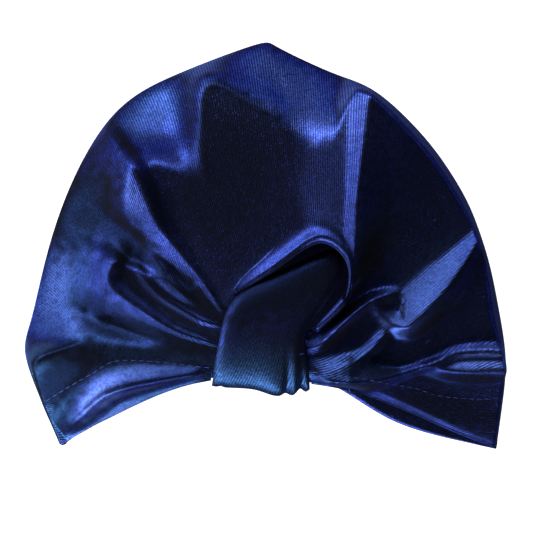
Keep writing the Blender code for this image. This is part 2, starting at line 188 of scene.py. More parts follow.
# A row for each guide line from the left hem over the crown to the right hem. Each line fans out
# from the gather under the knot to the crown seam: gate x and y, how far the line bows at one and
# two thirds, rim x and y, height at the gate's edge and just behind it, height of the puffed
# cloth at its shoulder, and how far out the height behind the gate reaches
fanRows = [
    ("left hem", -21.5, -53.4, -6.0, -2.2, -85.3, -82.9, 31.2, 32.0, 13, 56),
    ("left stitches", -21.2, -50.5, -4.0, -1.0, -92.2, -67.0, 31.9, 32.5, 18, 54),
    ("left hem fold", -20.4, -46.5, 0, 0, -99.8, -46.0, 33.0, 33.0, 24, 44),
    ("left lower", -19.5, -40.5, 0, 0, -97.6, -31.0, 33.5, 33.5, 24, 34),
    ("left middle", -18.6, -33.5, 0, 0, -91.8, -7.0, 34.0, 34.0, 26.5, 30),
    ("left upper", -16.6, -26.5, 0, 0, -81.5, 24.0, 34.0, 34.0, 28, 30),
    ("lip left end", -12.9, -20.4, 0, 0, -62.9, 54.8, 35.0, 34.0, 31.5, 30),
    ("lip rise", 1.0, -10.3, 0, 0, -36.0, 71.6, 36.8, 33.5, 32.5, 30),
    ("lip crown", 12.4, -1.6, 0, 0, -5.6, 83.1, 37.2, 33.5, 33, 30),
    ("lip peak", 17.0, 1.6, 0, 0, 4.0, 83.1, 37.6, 33.5, 33, 30),
    ("lip top", 21.6, 3.2, 0, 0, 15.6, 77.2, 38.0, 34.0, 33, 30),
    ("lip turn", 27.4, 1.2, 0, 0, 31.0, 70.6, 38.4, 34.5, 33, 30),
    ("lip shoulder", 32.4, -4.9, 0, 0, 45.5, 64.2, 38.6, 34.5, 32.5, 30),
    ("lip side", 33.6, -13.3, 0, 0, 61.0, 50.6, 37.8, 34, 31, 24),
    ("lip foot", 30.0, -23.6, 0, 0, 73.0, 36.2, 36.0, 33.5, 29, 20),
    ("lip right end", 18.4, -35.2, 0, 0, 82.5, 21.0, 33.0, 33.0, 27, 20),
    ("right upper", 16.8, -38.6, 0, 0, 88.2, 8.0, 33.0, 33.0, 27, 26),
    ("right middle", 16.4, -42.0, 0, 0, 93.2, -8.0, 33.0, 33.0, 26.5, 32),
    ("right lower", 16.4, -46.0, 0, 0, 97.0, -26.5, 33.0, 33.0, 26, 36),
    ("right hem fold", 17.0, -49.6, 0, 0, 99.8, -46.5, 33.0, 33.0, 23, 44),
    ("right stitches", 17.6, -52.4, 1.0, 0, 98.6, -65.0, 31.9, 32.5, 15, 56),
    ("right hem", 18.2, -55.2, 7.6, -1.8, 95.9, -84.5, 31.2, 32.0, 8, 58),
]

# How wide the slope from the puffed cloth down to the crown seam is, by row
rimSlopes = [
    (0, 3), (1, 4), (2, 8), (2.6, 24), (3.5, 29), (5.0, 29), (5.5, 18), (5.85, 13), (6.3, 28),
    (6.6, 41), (6.8, 34), (6.95, 21), (7.15, 10), (7.35, 10), (7.6, 19), (7.9, 27), (8.4, 34),
    (9, 36), (10, 36), (10.8, 28), (11.3, 8), (12, 8), (13, 8), (15, 7), (16, 6), (17, 6),
    (18, 8), (19, 5), (20, 4), (21, 3),
]

# The folds, each a path outwards from the gather with stations of x, y, height, and the width
# of its left and its right flank: a ridge has straight flanks, a swell is round, a trough flat
folds = [
    ("left long", "ridge", [
        (-17.8, -25.4, 1.2, 1.3, 1.6), (-26, -13, 1.6, 2, 2), (-37, 1, 3, 5, 3),
        (-44, 11.5, 5, 10, 4), (-50.5, 28, 6, 15, 5), (-58.5, 43, 5, 16, 5), (-66, 53, 2, 12, 5),
    ]),
    ("left ear", "ridge", [
        (-28, -23, 0.5, 2, 2), (-34, -18, 2, 4, 2.5), (-41, -9.5, 2.8, 6, 3), (-48, -1, 1.5, 5, 3),
        (-51, 3, 0, 4, 3),
    ]),
    ("left ear edge", "ridge", [
        (-18.7, -32, 1.2, 1.2, 1.5), (-26, -30, 1.4, 1.3, 1.5), (-34, -25.4, 1.5, 1.5, 1.8),
        (-44, -18.5, 1.5, 1.8, 2), (-50.6, -9, 1.2, 2, 2), (-52.3, -2, 0, 2, 2),
    ]),
    ("left hook", "ridge", [
        (-19.5, -39.8, 1.2, 1.2, 1.5), (-26, -37.7, 1.4, 1.3, 1.6), (-37, -33.6, 1.6, 1.8, 2),
        (-48, -26.7, 2.4, 3.5, 3), (-57.6, -19.7, 3, 6, 3.5), (-62.5, -13, 3, 8, 4),
        (-60, -6, 2.5, 8, 4), (-64, 2, 0.5, 7, 4),
    ]),
    ("left trough", "trough", [
        (-30, -15, -0.6, 3, 3), (-39, -10, -2, 4, 4), (-50, -4, -5, 6, 6), (-62, 4, -5.5, 8, 8),
        (-74, 11, -4, 9, 9), (-84, 15, -1, 8, 9), (-92, 17, 0, 8, 9),
    ]),
    ("left bowl", "swell", [
        (-80, -22, -1, 6, 6), (-72, -27, -4.5, 7, 7), (-62, -31.5, -4, 7, 6), (-50, -36, -2, 5, 4),
        (-40, -39, 0, 3, 3),
    ]),
    ("left cheek", "swell", [
        (-24, -43, 0.3, 6, 4), (-40, -42, 1, 10, 6), (-54, -42, 2.5, 20, 10), (-75, -41, 5, 27, 17),
        (-99, -41, 6, 28, 20),
    ]),
    ("left hem ridge", "swell", [
        (-22, -50.5, 1, 2, 2.5), (-34, -52.7, 3.6, 2.5, 4.2), (-48, -55.5, 7, 3, 7),
        (-62, -59.6, 10.5, 3.5, 9.5), (-71, -66.5, 11, 4, 9.5), (-77.5, -71.5, 7, 4, 8),
        (-83, -75.5, 0, 4, 6),
    ]),
    ("crown tongue", "ridge", [
        (-23, 25, 0.2, 2, 3), (-28, 36, 1, 6, 4), (-31.5, 46, 1.6, 10, 5), (-34, 56, 1.6, 13, 6),
        (-34, 70, 1, 14, 7),
    ]),
    ("crown notch", "swell", [
        (-38, 24, -0.5, 3, 3), (-47, 31, -2, 2.5, 3.5), (-54, 38, -4, 3, 4),
        (-60, 46, -5.5, 3, 4.5), (-65, 52, -3, 3, 5),
    ]),
    ("right long", "ridge", [
        (33.6, -14, 2.5, 2.5, 4), (34, -8, 3.4, 3, 5), (35, 2, 3.6, 3.4, 8), (36, 20, 3.3, 3.8, 11),
        (38.6, 39, 4.4, 5.8, 15), (41.6, 60, 6, 8.2, 18), (43.4, 68, 4, 8.5, 16),
    ]),
    ("right long foot", "ridge", [
        (31, 0, 2.5, 14, 12), (34, 10, 5.4, 19, 22), (35.5, 20, 6.8, 21, 30),
        (37.5, 39, 6.8, 20, 34), (40, 58, 4.8, 18, 32), (42, 68, 2, 16, 28),
    ]),
    ("right arm", "ridge", [
        (16, -41, 2.5, 2.5, 3), (22.5, -39, 3.5, 2.5, 3), (30.5, -31.6, 4.5, 3, 4),
        (36.7, -26, 4.5, 3, 5), (42.8, -22, 4, 3, 5), (50, -20, 2.5, 3, 4), (56, -19, 0, 3, 4),
    ]),
    ("right band", "ridge", [
        (44, -25, 1, 3, 3), (50, -31, 3, 5, 4), (56, -33, 6, 10, 5), (62, -28.5, 8, 12, 6),
        (71.5, -18.5, 8, 11, 7), (79, -8, 6, 7.5, 7), (85, 2, 3, 4, 6), (88.5, 9, 0, 2.5, 5),
    ]),
    ("right cheek", "ridge", [
        (20, -54.5, 5, 9, 3), (33, -54.8, 8, 10, 4), (45.7, -53.7, 6, 5, 4),
        (54, -51.7, 3.5, 2.5, 3), (63.3, -48.8, 3, 2.2, 2.5), (71.5, -45.5, 3, 2.5, 2.5),
        (80, -43, 3.5, 3, 2.5), (99, -43, 4, 4, 2.5),
    ]),
    ("right curl", "ridge", [
        (24, -49.8, 0, 3, 4), (29, -48.6, 0.8, 3.5, 4.5), (33, -47, 1.8, 3.5, 4.5),
        (38.7, -44.5, 3, 3, 4), (43, -41, 3, 3, 4), (46.5, -37, 2.5, 3, 4), (49, -34, 1, 3, 3),
    ]),
    ("right lens", "ridge", [
        (64, -48.5, 1.5, 3, 4), (73, -50.5, 4.5, 5.5, 4), (82, -51, 6.5, 7.5, 4.5),
        (99, -50.8, 7.5, 8.5, 4.5),
    ]),
]


# How far the folds raise or lower the cloth at each point of its plan
def foldHeights(points):
    raised = np.zeros(len(points))
    for _, kind, stations in folds:
        stations = np.array(stations, float)
        knots = np.linspace(0, 1, len(stations))
        line = naturalSpline(knots, stations[:, :2], np.linspace(0, 1, frontCloth["foldPoints"]))
        far, side, place = alongPath(points, line)
        height, left, right = (np.interp(place, knots, stations[:, k]) for k in (2, 3, 4))
        across = 2 * far / (left + right + (left - right) * side)
        if kind == "ridge":
            width = far / np.maximum(across, 1e-6)
            crest = np.sqrt(across * across + (frontCloth["crestRound"] / width) ** 2)
            below = frontCloth["crestReach"] - crest
            raised += height * (below + np.sqrt(below * below + frontCloth["crestSoft"])) / 2
        else:
            power = 2 if kind == "swell" else 4
            raised += height * np.exp(-frontCloth["swellFall"] * across**power)
    return raised


fanTable = np.array([row[1:] for row in fanRows], float)
fanKnots = np.arange(len(fanRows))


# The fan's plan: a line for each place among the rows, from the gate at 0 to the crown seam at 1
def fanPlan(rowsAt, out):
    gateX, gateY, sagIn, sagOut, rimX, rimY = naturalSpline(fanKnots, fanTable[:, :6], rowsAt).T
    gate = np.stack([gateX, gateY], axis=1)
    rim = np.stack([rimX, rimY], axis=1)
    along = rim - gate
    across = unit(np.stack([-along[:, 1], along[:, 0]], axis=1))
    first = gate + along / 3 + across * sagIn[:, None]
    second = gate + along * 2 / 3 + across * sagOut[:, None]
    on = np.asarray(out)[None, :, None]
    return (
        (1 - on) ** 3 * gate[:, None]
        + 3 * on * (1 - on) ** 2 * first[:, None]
        + 3 * on**2 * (1 - on) * second[:, None]
        + on**3 * rim[:, None]
    )


def seamAt(rowsAt):
    return naturalSpline(fanKnots, fanTable[:, 4:6], np.clip(rowsAt, 0, len(fanRows) - 1))


# How far in from the crown seam each point lies. Further in, the corner at the peak eases
def distanceFromRim(rowsAt, plan):
    ease = frontCloth["rimEase"]
    seam = unit(seamAt(rowsAt + ease) - seamAt(rowsAt - ease))
    line = unit(plan[:, -1] - plan[:, -2])
    square = np.abs(line[:, 0] * seam[:, 1] - line[:, 1] * seam[:, 0])
    far = np.linalg.norm(plan - plan[:, -1:], axis=2) * square[:, None]
    rows = frontCloth["cornerRows"]
    weights = {k: math.exp(-k * k / frontCloth["cornerSpread"]) for k in range(-rows, rows + 1)}
    eased = sum(w * seamAt(rowsAt + 1.0 * k) for k, w in weights.items()) / sum(weights.values())
    outward = np.stack([-seam[:, 1], seam[:, 0]], axis=1)
    corner = np.sum((seamAt(rowsAt) - eased) * outward, axis=1)
    corner *= smooth(rowsAt / rows) * smooth((len(fanRows) - 1 - rowsAt) / rows)
    return np.maximum(far - corner[:, None] * smooth(far / frontCloth["cornerReach"]), 0)


# The front's height over its plan: a puffed dome that falls to the crown seam, with its folds,
# the rise at the gate's edge and the drop at the hem
def frontHeights(rowsAt, plan):
    gate, behind, shoulder, reach = naturalSpline(fanKnots, fanTable[:, 6:], rowsAt).T[..., None]
    step = frontCloth["rimStep"]
    near = [np.interp(rowsAt + k * step, *zip(*rimSlopes)) for k in (-2, -1, 0, 1, 2)]
    slope = np.mean(near, axis=0)[:, None]
    fromRim = distanceFromRim(rowsAt, plan)
    fromGate = np.linalg.norm(plan - plan[:, :1], axis=2)
    dome = np.exp(-((fromGate / reach) ** frontCloth["domeFall"]))
    flank = np.exp(-((fromGate / frontCloth["lipFlank"]) ** frontCloth["lipFall"]))
    base = shoulder + (behind - shoulder) * dome + (gate - behind) * flank
    raised = foldHeights(plan.reshape(-1, 2)).reshape(plan.shape[:2])
    atGate = frontCloth["foldAtGate"]
    raised *= atGate + (1 - atGate) * smooth(fromGate / frontCloth["foldGrows"])
    even = frontCloth["slopeEven"]
    up = np.clip(fromRim / slope, 0, 1)
    falls = np.where(up < even, 2 * up / (1 + even), 1 - (1 - up) ** 2 / (1 - even**2))
    turned = np.sqrt(1 - (1 - np.clip(fromRim / frontCloth["rimRound"], 0, 1)) ** 2)
    top = frontCloth["seamTop"]
    raised *= np.where(raised < 0, np.sqrt(falls), falls)
    hem = fanPlan(fanKnots[-1:], np.linspace(0, 1, frontCloth["hemPoints"]))[0]
    fromHem = alongPath(plan.reshape(-1, 2), hem)[0].reshape(plan.shape[:2])
    nearHem = np.clip(1 - fromHem / frontCloth["hemRoll"], 0, 1) ** frontCloth["hemFall"]
    raised -= frontCloth["hemDrop"] * nearHem * falls
    return top + (base - top) * falls + raised + frontCloth["rimBulge"] * turned * (1 - falls)


def gridNormals(grid):
    down = np.gradient(grid, axis=0)
    over = np.gradient(grid, axis=1)
    normal = unit(np.cross(down, over))
    return normal * np.sign(normal[..., 2].sum())


# The lip above the knot, where the gate's edge rolls under, as lines from its inside out
def lipRolls(plan, heights):
    size = np.sqrt(np.sin(np.pi * np.linspace(0, 1, len(plan))).clip(0, 1))
    outward = unit(plan[:, 1] - plan[:, 0])
    points = []
    for step in range(frontCloth["stepsRoll"]):
        turned = math.pi * (1 - step / frontCloth["stepsRoll"])
        back = frontCloth["lipRoll"] * size * math.sin(turned)
        down = frontCloth["lipRoll"] * size * (1 - math.cos(turned))
        points.append(np.column_stack([plan[:, 0] - outward * back[:, None], heights[:, 0] - down]))
    tucks = []
    for share in frontCloth["tuckShares"]:
        tucked = points[0].copy()
        tucked[:, :2] += outward * (frontCloth["lipTuck"] * share * size)[:, None]
        tucked[:, 2] -= size * share
        tucks.append(tucked)
    return np.stack(tucks + points, axis=1)


# Lines from inside the hem round its edge, for a grid whose first line is the edge
def turnedHem(grid, normals, count, radius):
    inward = grid[1] - grid[0]
    inward[:, 2] = 0
    inward = unit(inward)
    lines = [grid[i] - normals[i] * 2 * radius for i in range(count, -1, -1)]
    for step in range(1, frontCloth["stepsHem"]):
        turned = math.pi * (1 - step / frontCloth["stepsHem"])
        back = inward * radius * math.sin(turned)
        lines.append(grid[0] - back - normals[0] * radius * (1 - math.cos(turned)))
    return np.stack(lines + [grid[0]])


# The gathers under the knot, bridged from the fan's left edge to its right
def gatherBridge(fan, first, end):
    over = np.linspace(0, 1, frontCloth["stepsBridge"] + 1)[None, :, None]
    bridge = fan[: first + 1, 0][:, None] * (1 - over) + fan[end:, 0][::-1][:, None] * over
    fromHem = np.linspace(0, 1, first + 1)[:, None]
    bow = frontCloth["bridgeBow"] * np.sin(math.pi * over[..., 0])
    bridge[..., 1] += bow * (1 - fromHem) ** 2
    return bridge


# The fan's own map: how far across the cloth each point lies, and how far ahead of the gate
def fanMap(fan, out):
    rim = lengthAlong(fan[:, -1])
    gate = lengthAlong(fan[:, 0]) * frontCloth["gateStretch"]
    share = smooth(out)[None]
    across = (rim - rim[len(rim) // 2])[:, None] * share
    across = across + (gate - gate[len(gate) // 2])[:, None] * (1 - share)
    ahead = np.linalg.norm(fan[..., :2] - fan[:, :1, :2], axis=2)
    return across, ahead


# The front: its fan, the lip, the gathers bridged under the knot, and both turned hems
def frontPanel():
    last = len(fanRows) - 1
    perRow = frontCloth["linesPerRow"]
    inset = frontCloth["hemInset"]
    rowsAt = np.linspace(inset, last - inset, last * perRow + 1)
    even = np.linspace(0, 1, frontCloth["stepsOut"] + 1)
    out = even - frontCloth["crowdEnds"] * np.sin(2 * np.pi * even) / (2 * np.pi)
    plan = fanPlan(rowsAt, out)
    heights = frontHeights(rowsAt, plan)
    fan = np.dstack([plan, heights[..., None]])
    across, ahead = fanMap(fan, out)
    first = frontCloth["lipStart"] * perRow
    end = frontCloth["lipEnd"] * perRow
    lines = slice(first, end + 1)
    lip = np.concatenate([lipRolls(plan[lines], heights[lines]), fan[lines, :1]], axis=1)
    lipAhead = lengthAlong(lip[len(lip) // 2])
    lipAhead = np.repeat((lipAhead - lipAhead[-1])[None], len(lip), 0)
    lipMap = np.dstack([np.repeat(across[lines, :1], lip.shape[1], 1), lipAhead])
    bridge = gatherBridge(fan, first, end)
    parts = [(fan, np.dstack([across, ahead])), (lip, lipMap), (bridge, bridge[..., :2])]
    normals = gridNormals(fan)
    for grid, normal in ((fan, normals), (fan[::-1], normals[::-1])):
        hem = turnedHem(grid, normal, perRow, frontCloth["hemRadius"])
        deep = lengthAlong(hem[:, frontCloth["hemMapLine"]])
        deep = np.repeat(deep[:, None], hem.shape[1], 1)
        parts.append((hem, np.dstack([deep, np.repeat(ahead[:1], len(hem), 0)])))
    obj = meshFrom("frontPanel", parts, True)
    thicken(obj, frontCloth["thickness"])
    return obj


# The back cloth, in millimetres: it lies flat and rises to the crown seam
backCloth = {
    "thickness": 1.3,
    "lines": 200,
    "steps": 60,
    "rise": 2.4,
    "roll": 15.0,
    "seamPoints": 600,
    "seamSkip": 4,
}

# The corners of its hem from left to right
backHem = [
    (-85.3, -82.9),
    (-62.0, -66.0),
    (-38.0, -54.5),
    (0.0, -50.0),
    (30.0, -59.4),
    (52.0, -72.6),
    (76.0, -80.4),
    (95.9, -84.5),
]


# The back: lines from the hem to the crown seam, lifted along the seam
def backPanel():
    rim = seamAt(np.linspace(0, len(fanRows) - 1, backCloth["seamPoints"]))
    count = backCloth["lines"] + 1
    hem = naturalSpline(np.linspace(0, 1, len(backHem)), backHem, np.linspace(0, 1, count))
    along = lengthAlong(rim)
    wanted = np.linspace(0, along[-1], count)
    seam = np.stack([np.interp(wanted, along, rim[:, k]) for k in (0, 1)], axis=1)
    up = np.linspace(0, 1, backCloth["steps"] + 1)[None, :, None]
    plan = hem[:, None] * (1 - up) + seam[:, None] * up
    fromRim = alongPath(plan.reshape(-1, 2), rim[:: backCloth["seamSkip"]])[0]
    fromRim = fromRim.reshape(plan.shape[:2])
    lift = backCloth["rise"] * (1 - smooth(fromRim / backCloth["roll"]))
    obj = meshFrom("backPanel", [(np.dstack([plan, lift[..., None]]), plan)], False)
    thicken(obj, backCloth["thickness"], 1)
    return obj


# The band of the knot, in millimetres; places across it go from -1 to 1
band = {
    "thickness": 2.0,
    "steps": 200,
    "ribs": 61,
    "sagPlace": 0.35,
    "sagWidth": 0.35,
    "squareness": 10,  # how flat it is between its edges
    "pleatDrift": 0.03,
    "pleatFade": 1.2,
    "waleLean": 0.34,  # how far the wales drift across for each millimetre along
    "mapRow": 20,  # the step whose width sets the map
}

# The stations of its closed path: left and right edges, how far the middle stands out, and how
# much further it sags towards its right side
bandRows = [
    ("hem edge", -21.4, -56.4, 29.0, 17.6, -57.8, 29.0, 0.6, 2.6),
    ("hem shoulder", -21.0, -54.4, 31.8, 17.6, -56.0, 31.8, 1.2, 1.6),
    ("face low", -20.0, -47.5, 34.8, 17.0, -49.5, 34.4, 2.0, 0.5),
    ("face middle", -18.0, -37.0, 37.2, 15.8, -40.0, 36.4, 2.4, 0.0),
    ("face high", -15.4, -27.0, 37.4, 18.8, -30.0, 34.6, 2.4, 0.0),
    ("under lip", -10.5, -20.0, 35.4, 29.4, -14.0, 32.6, 2.0, 0.0),
    ("slit", -6.0, -17.5, 31.4, 29.4, -3.0, 30.4, 2.0, 0.0),
    ("slit back", -8.0, -20.0, 26.6, 22.0, -7.0, 26.0, 1.5, 0.0),
    ("inside high", -13.0, -27.0, 26.2, 15.5, -20.0, 26.0, 0.6, 0.0),
    ("inside middle", -16.0, -37.0, 25.6, 14.5, -34.0, 25.6, 0.6, 0.0),
    ("inside low", -18.8, -47.0, 25.2, 14.8, -47.0, 25.2, 0.6, 0.0),
    ("hem inside", -20.4, -54.8, 26.0, 16.8, -56.2, 26.0, 0.6, 1.0),
]

# Pleats pressed into the band where it turns under the hem: place across it, depth, width, and
# how many rows up from the hem they reach
bandPleats = [
    (-0.82, 0.5, 0.06, 1),
    (0.5, 0.9, 0.07, 3),
    (0.66, -0.9, 0.08, 3),
    (0.8, 1.2, 0.06, 3),
    (0.93, -0.6, 0.05, 2),
]


# A closed curve through the rows, as so many points
def loopSpline(rows, count):
    rows = np.asarray(rows, float)
    around = np.vstack([rows, rows, rows, rows[:1]])
    return naturalSpline(np.arange(len(around)) / len(rows), around, 1 + np.arange(count) / count)


# The band: a closed strip through its stations, swollen across and pleated at the hem
def knotBand():
    path = loopSpline([row[1:] for row in bandRows], band["steps"])
    left = path[:, 0:3]
    right = path[:, 3:6]
    centre = (left + right) / 2
    ahead = np.roll(centre, -1, axis=0) - np.roll(centre, 1, axis=0)
    outward = unit(np.cross(right - left, ahead))
    across = np.linspace(-1, 1, band["ribs"])[None, :, None]
    sag = np.exp(-(((across - band["sagPlace"]) / band["sagWidth"]) ** 2))
    square = 1 - across ** band["squareness"]
    stands = path[:, 6, None, None] * square + path[:, 7, None, None] * sag
    low = np.arange(len(path)) * len(bandRows) / len(path)
    low = np.minimum(low, len(bandRows) - low)[:, None, None]
    for place, depth, width, rows in bandPleats:
        drift = across - place - band["pleatDrift"] * low
        fades = smooth(band["pleatFade"] - low / rows)
        stands = stands - depth * np.exp(-((drift / width) ** 2)) * fades
    flat = (left[:, None] * (1 - across) + right[:, None] * (1 + across)) / 2
    grid = flat + stands * outward[:, None]
    grid = np.concatenate([grid, grid[:1]], axis=0)
    around = lengthAlong(grid[:, band["ribs"] // 2])
    over = lengthAlong(grid[band["mapRow"]])
    leaning = over[None] - band["waleLean"] * around[:, None]
    places = np.dstack([leaning, np.repeat(around[:, None], len(over), 1)])
    obj = meshFrom("knotBand", [(grid, places)], True)
    thicken(obj, band["thickness"])
    return obj


def mathNode(nodes, links, operation, *values):
    node = nodes.new("ShaderNodeMath")
    node.operation = operation
    for socket, value in zip(node.inputs, values):
        if isinstance(value, (int, float)):
            socket.default_value = value
        else:
            links.new(value, socket)
    return node.outputs[0]


def newMaterial(name, rough, specular):
    material = bpy.data.materials.new(name)
    material.use_nodes = True
    shader = material.node_tree.nodes["Principled BSDF"]
    shader.inputs["Roughness"].default_value = rough
    shader.inputs["Specular IOR Level"].default_value = specular
    return material, material.node_tree.nodes, material.node_tree.links, shader


def attributeNode(nodes, name):
    node = nodes.new("ShaderNodeAttribute")
    node.attribute_name = name
    return node.outputs["Fac"]


def blendNode(nodes, first, second):
    node = nodes.new("ShaderNodeMix")
    node.data_type = "RGBA"
    node.inputs["A"].default_value = (*first, 1)
    node.inputs["B"].default_value = (*second, 1)
    return node


def bumpNode(nodes, links, depth, height):
    node = nodes.new("ShaderNodeBump")
    node.inputs["Distance"].default_value = depth * mm
    links.new(height, node.inputs["Height"])
    return node


# The place on the cloth's own map, across and along
def clothPlace(nodes, links):
    uv = nodes.new("ShaderNodeUVMap")
    uv.uv_map = "cloth"
    split = nodes.new("ShaderNodeSeparateXYZ")
    links.new(uv.outputs[0], split.inputs[0])
    return split.outputs


# The velvet, with a painted highlight colour, a painted shade colour and a painted tint of teal
# light. Wales and pile are in millimetres, save for pileScale, in tufts to the metre
velvetLook = {
    "blue": (0.0100, 0.0180, 0.100),
    # painted teal light: the colour of cloth lit by a cool light from the lower left
    "tealLightTint": (0.0085, 0.0250, 0.072),
    # painted shade: the colour of cloth in shadow
    "paintedShade": (0.0018, 0.0045, 0.0165),
    # painted highlight: the colour of brightly lit cloth
    "paintedHighlight": (0.035, 0.061, 0.23),
    "edge": (0.03, 0.035, 0.07),  # tint of the gloss at a grazing angle
    "specular": 0.0,
    "haze": 0.009,
    "hazeRough": 0.9,
    "steepFrom": 0.5,  # upright share of the normal, below which cloth begins to be steep
    "steepTurn": 0.25,  # how far below that it is wholly so
    # painted shade laid on steep cloth, the more the steeper
    "steepPaintedShade": 0.3,
    "matt": 1.0,  # how matt steep cloth is
    "ragged": 0.12,  # waviness of the painted spots' edges
    "spotEdge": 1.7,  # times its reach, where a spot ends
    "rough": 0.31,
    "knotRough": 0.35,
    "walePitch": 1.13,
    "waleDepth": 0.024,
    "knotWale": 0.026,
    "waleShade": 0.12,  # painted light and shade across the wales everywhere
    "ribShade": 0.5,  # and how much more painted light and shade where they show most
    "pileDepth": 0.03,
    "pileScale": 1500,
    "pileSpread": 0.38,
}


# Velvet with its colour set by painted teal light, a painted highlight and painted shade, flecked
# by the pile and ribbed by the wales in painted light and shade. Where the cloth stands steep it
# turns from glossy to matt
def velvet(name, rough, waleDepth):
    material, nodes, links, shader = newMaterial(name, rough, velvetLook["specular"])
    shader.inputs["Specular Tint"].default_value = (*velvetLook["edge"], 1)
    shader.inputs["Sheen Weight"].default_value = velvetLook["haze"]
    shader.inputs["Sheen Roughness"].default_value = velvetLook["hazeRough"]
    shade = blendNode(nodes, velvetLook["blue"], velvetLook["tealLightTint"])
    links.new(attributeNode(nodes, "paintedTealLight"), shade.inputs["Factor"])
    for way in ("paintedHighlight", "paintedShade"):
        turned = blendNode(nodes, velvetLook["blue"], velvetLook[way])
        links.new(attributeNode(nodes, way), turned.inputs["Factor"])
        links.new(shade.outputs["Result"], turned.inputs["A"])
        shade = turned
    glossy = mathNode(nodes, links, "SUBTRACT", 1.0, attributeNode(nodes, "steep"))
    links.new(glossy, shader.inputs["Metallic"])
    place = nodes.new("ShaderNodeTexCoord")
    pile = nodes.new("ShaderNodeTexVoronoi")
    pile.inputs["Scale"].default_value = velvetLook["pileScale"]
    links.new(place.outputs["Object"], pile.inputs["Vector"])
    tuft = nodes.new("ShaderNodeSeparateColor")
    links.new(pile.outputs["Color"], tuft.inputs["Color"])
    spread = velvetLook["pileSpread"]
    bright = mathNode(nodes, links, "MULTIPLY_ADD", tuft.outputs[0], 2 * spread, 1 - spread)
    turns = 2 * math.pi / (velvetLook["walePitch"] * mm)
    angle = mathNode(nodes, links, "MULTIPLY", clothPlace(nodes, links)[0], turns)
    wave = mathNode(nodes, links, "SINE", angle)
    # the wales' light and shade is painted into the base colour, stronger where the ribs spots lie
    shades = (velvetLook["ribShade"], velvetLook["waleShade"])
    contrast = mathNode(nodes, links, "MULTIPLY_ADD", attributeNode(nodes, "ribs"), *shades)
    ribbed = mathNode(nodes, links, "MULTIPLY_ADD", wave, contrast, 1.0)
    bright = mathNode(nodes, links, "MULTIPLY", bright, ribbed)
    flecked = nodes.new("ShaderNodeMix")
    flecked.data_type = "RGBA"
    flecked.blend_type = "MULTIPLY"
    flecked.inputs["Factor"].default_value = 1
    links.new(shade.outputs["Result"], flecked.inputs["A"])
    links.new(bright, flecked.inputs["B"])
    links.new(flecked.outputs["Result"], shader.inputs["Base Color"])
    wales = bumpNode(nodes, links, waleDepth, wave)
    grain = bumpNode(nodes, links, velvetLook["pileDepth"], tuft.outputs[1])
    links.new(wales.outputs[0], grain.inputs["Normal"])
    links.new(grain.outputs[0], shader.inputs["Normal"])
    return material


# The knitted backing on the inner side, in millimetres. Its dark colour is the knit's dull navy
# darkened further as painted shade, where the inner side shows below the hem and in the slit
backingLook = {
    "dark": (0.005, 0.007, 0.02),
    "light": (0.012, 0.016, 0.04),
    "loops": (1.1, 0.8),
    "depth": 0.12,
    "rough": 0.9,
    "specular": 0.05,
}


def backing(name):
    look = backingLook
    material, nodes, links, shader = newMaterial(name, look["rough"], look["specular"])
    waves = []
    for place, pitch in zip(clothPlace(nodes, links), look["loops"]):
        angle = mathNode(nodes, links, "MULTIPLY", place, 2 * math.pi / (pitch * mm))
        waves.append(mathNode(nodes, links, "SINE", angle))
    loops = mathNode(nodes, links, "MULTIPLY", *waves)
    shade = blendNode(nodes, look["dark"], look["light"])
    links.new(mathNode(nodes, links, "MULTIPLY_ADD", loops, 0.5, 0.5), shade.inputs["Factor"])
    links.new(shade.outputs["Result"], shader.inputs["Base Color"])
    bump = bumpNode(nodes, links, look["depth"], loops)
    links.new(bump.outputs[0], shader.inputs["Normal"])
    return material


